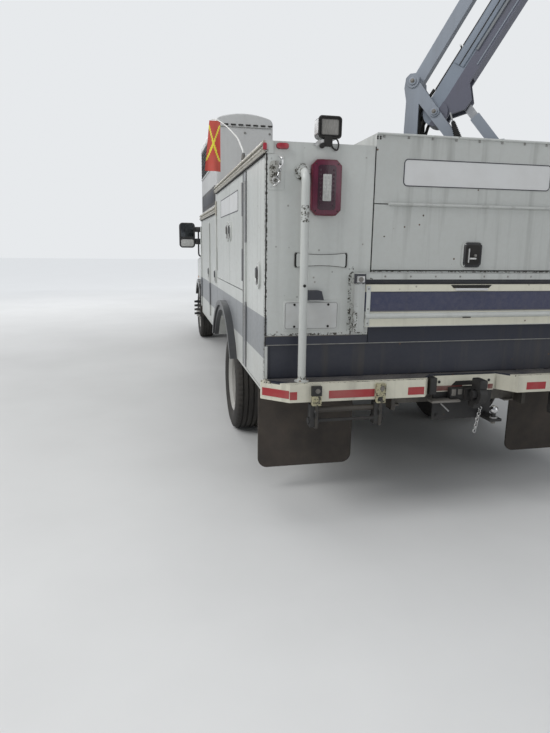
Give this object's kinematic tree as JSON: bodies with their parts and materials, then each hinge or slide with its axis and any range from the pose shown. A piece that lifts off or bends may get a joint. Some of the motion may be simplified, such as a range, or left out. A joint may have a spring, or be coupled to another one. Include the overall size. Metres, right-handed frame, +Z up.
{
  "type": "bucket truck with a utility body",
  "caption": "White utility-body truck with a raised grey articulated boom and bucket, side compartment doors, rear step bumper and hitch.",
  "frame": {"origin": "bottom centre of the whole machine's box, on the ground", "axes": "+Y forward along the truck, +X to its right, +Z up"},
  "size_m": [4.3378, 8.3884, 6.7764],
  "materials": {
    "chassis_black": "dusty satin",
    "cast_iron": "oily",
    "steel_wheel": "dusty satin",
    "tyre_rubber": "worn",
    "white_paint": "weathered gloss",
    "flap_rubber": "dusty",
    "lamp_lens": "moulded",
    "window_glass": "clear",
    "cab_trim": "cloth and vinyl",
    "dark_trim": "moulded",
    "boom_grey": "weathered satin",
    "bucket_shell": "weathered gelcoat",
    "bright_steel": "worn"
  },
  "bodies": {
    "truck": {"chassis_frame": "chassis_black", "rear_axle": "chassis_black", "front_axle_beam": "chassis_black", "leaf_springs": "chassis_black", "engine_block": "cast_iron", "tank_and_exhaust": "chassis_black", "side_pack_left": "white_paint", "side_pack_right": "white_paint", "deck": "white_paint", "centre_box": "white_paint", "step_bumper": "white_paint", "hitch": "chassis_black", "mud_flaps": "flap_rubber", "grab_rails": "white_paint", "rear_lamps": "lamp_lens", "equipment_housing": "white_paint", "cab_shell": "white_paint", "cab_glass": "window_glass", "cab_interior": "cab_trim", "grille_and_headlamps": "dark_trim", "fenders": "white_paint", "front_bumper": "white_paint", "pedestal": "boom_grey"},
    "turntable": {"turntable": "boom_grey"},
    "lower_boom": {"lower_boom": "boom_grey"},
    "parallel_link": {"parallel_link": "boom_grey"},
    "knuckle": {"knuckle": "boom_grey"},
    "upper_boom": {"upper_boom": "boom_grey"},
    "bucket": {"bucket": "bucket_shell"},
    "lift_cylinder_barrel": {"lift_cylinder_barrel": "boom_grey"},
    "lift_cylinder_rod": {"lift_cylinder_rod": "bright_steel"},
    "upper_cylinder_barrel": {"upper_cylinder_barrel": "boom_grey"},
    "upper_cylinder_rod": {"upper_cylinder_rod": "bright_steel"},
    "knuckle_left": {"steering_knuckle_left": "chassis_black"},
    "front_wheel_left": {"front_rim_left": "steel_wheel", "front_tyre_left": "tyre_rubber"},
    "rear_wheel_left": {"rear_rim_left": "steel_wheel", "rear_tyre_left": "tyre_rubber"},
    "knuckle_right": {"steering_knuckle_right": "chassis_black"},
    "front_wheel_right": {"front_rim_right": "steel_wheel", "front_tyre_right": "tyre_rubber"},
    "rear_wheel_right": {"rear_rim_right": "steel_wheel", "rear_tyre_right": "tyre_rubber"},
    "rear_door_left": {"rear_door_left": "white_paint"},
    "middle_rear_door_left": {"middle_rear_door_left": "white_paint"},
    "middle_front_door_left": {"middle_front_door_left": "white_paint"},
    "forward_rear_door_left": {"forward_rear_door_left": "white_paint"},
    "forward_front_door_left": {"forward_front_door_left": "white_paint"},
    "cab_door_left": {"cab_door_left": "white_paint", "door_glass_left": "window_glass"},
    "rear_door_right": {"rear_door_right": "white_paint"},
    "middle_rear_door_right": {"middle_rear_door_right": "white_paint"},
    "middle_front_door_right": {"middle_front_door_right": "white_paint"},
    "forward_rear_door_right": {"forward_rear_door_right": "white_paint"},
    "forward_front_door_right": {"forward_front_door_right": "white_paint"},
    "cab_door_right": {"cab_door_right": "white_paint", "door_glass_right": "window_glass"},
    "hood": {"hood": "white_paint"},
    "rear_hatch": {"rear_hatch": "white_paint"},
    "tailgate": {"tailgate": "white_paint"}
  },
  "joints": [
    {"name": "turntable_slew", "type": "hinge", "parent": "truck", "child": "turntable", "pos_m": [0.2823, -2.6858, 1.95], "axis": [0, 0, 1], "continuous": true},
    {"name": "lower_boom_lift", "type": "hinge", "parent": "turntable", "child": "lower_boom", "pos_m": [0.38474, -2.76584, 2.4], "axis": [-0.6157, -0.788, 0], "range_deg": [-28, 14]},
    {"name": "parallel_link_swing", "type": "hinge", "parent": "turntable", "child": "parallel_link", "pos_m": [0.26654, -2.67349, 2.598], "axis": [-0.6157, -0.788, 0], "range_deg": [-28, 14]},
    {"name": "knuckle_level", "type": "hinge", "parent": "lower_boom", "child": "knuckle", "pos_m": [2.01331, -4.03822, 5.70739], "axis": [-0.6157, -0.788, 0], "range_deg": [-14, 28]},
    {"name": "upper_boom_unfold", "type": "hinge", "parent": "knuckle", "child": "upper_boom", "pos_m": [1.93687, -3.9785, 6.15039], "axis": [0.6157, 0.788, 0], "range_deg": [0, 70]},
    {"name": "bucket_level", "type": "hinge", "parent": "upper_boom", "child": "bucket", "pos_m": [-1.36018, -1.40256, 6.51644], "axis": [0.6157, 0.788, 0], "range_deg": [-70, 0]},
    {"name": "lift_barrel_swing", "type": "hinge", "parent": "turntable", "child": "lift_cylinder_barrel", "pos_m": [0.7023, -3.01395, 2.17], "axis": [-0.6157, -0.788, 0], "range_deg": [-3.75, 7.44]},
    {"name": "lift_rod_slide", "type": "slide", "parent": "lift_cylinder_barrel", "child": "lift_cylinder_rod", "axis": [-0.4953, 0.3869, 0.7778], "range_m": [-0.07422, 0.03716]},
    {"name": "upper_barrel_swing", "type": "hinge", "parent": "knuckle", "child": "upper_cylinder_barrel", "pos_m": [1.42466, -3.57832, 5.75039], "axis": [0.6157, 0.788, 0], "range_deg": [-17.7, 0.05]},
    {"name": "upper_rod_slide", "type": "slide", "parent": "upper_cylinder_barrel", "child": "upper_cylinder_rod", "axis": [0.5825, -0.4551, 0.6735], "range_m": [-0.0001, 0.31353]},
    {"name": "steer_left", "type": "hinge", "parent": "truck", "child": "knuckle_left", "pos_m": [-0.4777, 3.2242, 0.41], "axis": [0, 0, 1], "range_deg": [-35, 35]},
    {"name": "front_wheel_spin_left", "type": "hinge", "parent": "knuckle_left", "child": "front_wheel_left", "pos_m": [-0.6427, 3.2242, 0.41], "axis": [1, 0, 0], "continuous": true},
    {"name": "rear_wheel_spin_left", "type": "hinge", "parent": "truck", "child": "rear_wheel_left", "pos_m": [-0.7677, -1.7958, 0.41], "axis": [1, 0, 0], "continuous": true},
    {"name": "steer_right", "type": "hinge", "parent": "truck", "child": "knuckle_right", "pos_m": [1.04229, 3.2242, 0.41], "axis": [0, 0, 1], "range_deg": [-35, 35]},
    {"name": "front_wheel_spin_right", "type": "hinge", "parent": "knuckle_right", "child": "front_wheel_right", "pos_m": [1.2073, 3.2242, 0.41], "axis": [1, 0, 0], "continuous": true},
    {"name": "rear_wheel_spin_right", "type": "hinge", "parent": "truck", "child": "rear_wheel_right", "pos_m": [1.3323, -1.7958, 0.41], "axis": [1, 0, 0], "continuous": true},
    {"name": "rear_door_left_hinge", "type": "hinge", "parent": "truck", "child": "rear_door_left", "pos_m": [-0.926, -2.8708, 1.3675], "axis": [0, 0, -1], "range_deg": [0, 90]},
    {"name": "middle_rear_door_left_hinge", "type": "hinge", "parent": "truck", "child": "middle_rear_door_left", "pos_m": [-0.926, -2.7468, 1.6175], "axis": [0, 0, 1], "range_deg": [0, 90]},
    {"name": "middle_front_door_left_hinge", "type": "hinge", "parent": "truck", "child": "middle_front_door_left", "pos_m": [-0.926, -1.1648, 1.6175], "axis": [0, 0, -1], "range_deg": [0, 90]},
    {"name": "forward_rear_door_left_hinge", "type": "hinge", "parent": "truck", "child": "forward_rear_door_left", "pos_m": [-0.926, -0.4988, 1.2825], "axis": [0, 0, -1], "range_deg": [0, 90]},
    {"name": "forward_front_door_left_hinge", "type": "hinge", "parent": "truck", "child": "forward_front_door_left", "pos_m": [-0.926, 0.5392, 1.2825], "axis": [0, 0, -1], "range_deg": [0, 90]},
    {"name": "cab_door_hinge_left", "type": "hinge", "parent": "truck", "child": "cab_door_left", "pos_m": [-0.72601, 2.5032, 1.3], "axis": [0, 0, -1], "range_deg": [0, 65]},
    {"name": "rear_door_right_hinge", "type": "hinge", "parent": "truck", "child": "rear_door_right", "pos_m": [1.49059, -2.8708, 1.3675], "axis": [0, 0, 1], "range_deg": [0, 90]},
    {"name": "middle_rear_door_right_hinge", "type": "hinge", "parent": "truck", "child": "middle_rear_door_right", "pos_m": [1.49059, -2.7468, 1.6175], "axis": [0, 0, -1], "range_deg": [0, 90]},
    {"name": "middle_front_door_right_hinge", "type": "hinge", "parent": "truck", "child": "middle_front_door_right", "pos_m": [1.49059, -1.1648, 1.6175], "axis": [0, 0, 1], "range_deg": [0, 90]},
    {"name": "forward_rear_door_right_hinge", "type": "hinge", "parent": "truck", "child": "forward_rear_door_right", "pos_m": [1.49059, -0.4988, 1.2825], "axis": [0, 0, 1], "range_deg": [0, 90]},
    {"name": "forward_front_door_right_hinge", "type": "hinge", "parent": "truck", "child": "forward_front_door_right", "pos_m": [1.49059, 0.5392, 1.2825], "axis": [0, 0, 1], "range_deg": [0, 90]},
    {"name": "cab_door_hinge_right", "type": "hinge", "parent": "truck", "child": "cab_door_right", "pos_m": [1.29059, 2.5032, 1.3], "axis": [0, 0, 1], "range_deg": [0, 65]},
    {"name": "hood_hinge", "type": "hinge", "parent": "truck", "child": "hood", "pos_m": [0.2823, 2.6142, 1.41], "axis": [1, 0, 0], "range_deg": [0, 50]},
    {"name": "rear_hatch_hinge", "type": "hinge", "parent": "truck", "child": "rear_hatch", "pos_m": [0.2823, -3.5001, 1.765], "axis": [-1, 0, 0], "range_deg": [0, 90]},
    {"name": "tailgate_hinge", "type": "hinge", "parent": "truck", "child": "tailgate", "pos_m": [0.2823, -3.5238, 1.112], "axis": [1, 0, 0], "range_deg": [0, 90]}
  ],
  "couplings": [
    {"joint": "parallel_link_swing", "follows": "lower_boom_lift", "ratio": 1},
    {"joint": "knuckle_level", "follows": "lower_boom_lift", "ratio": -1},
    {"joint": "bucket_level", "follows": "upper_boom_unfold", "ratio": -1},
    {"joint": "lift_barrel_swing", "follows": "lower_boom_lift", "ratio": -0.26404},
    {"joint": "lift_rod_slide", "follows": "lower_boom_lift", "m_per_rad": 0.15167},
    {"joint": "upper_barrel_swing", "follows": "upper_boom_unfold", "ratio": -0.2521},
    {"joint": "upper_rod_slide", "follows": "upper_boom_unfold", "m_per_rad": 0.25654},
    {"joint": "steer_right", "follows": "steer_left", "ratio": 1}
  ]
}
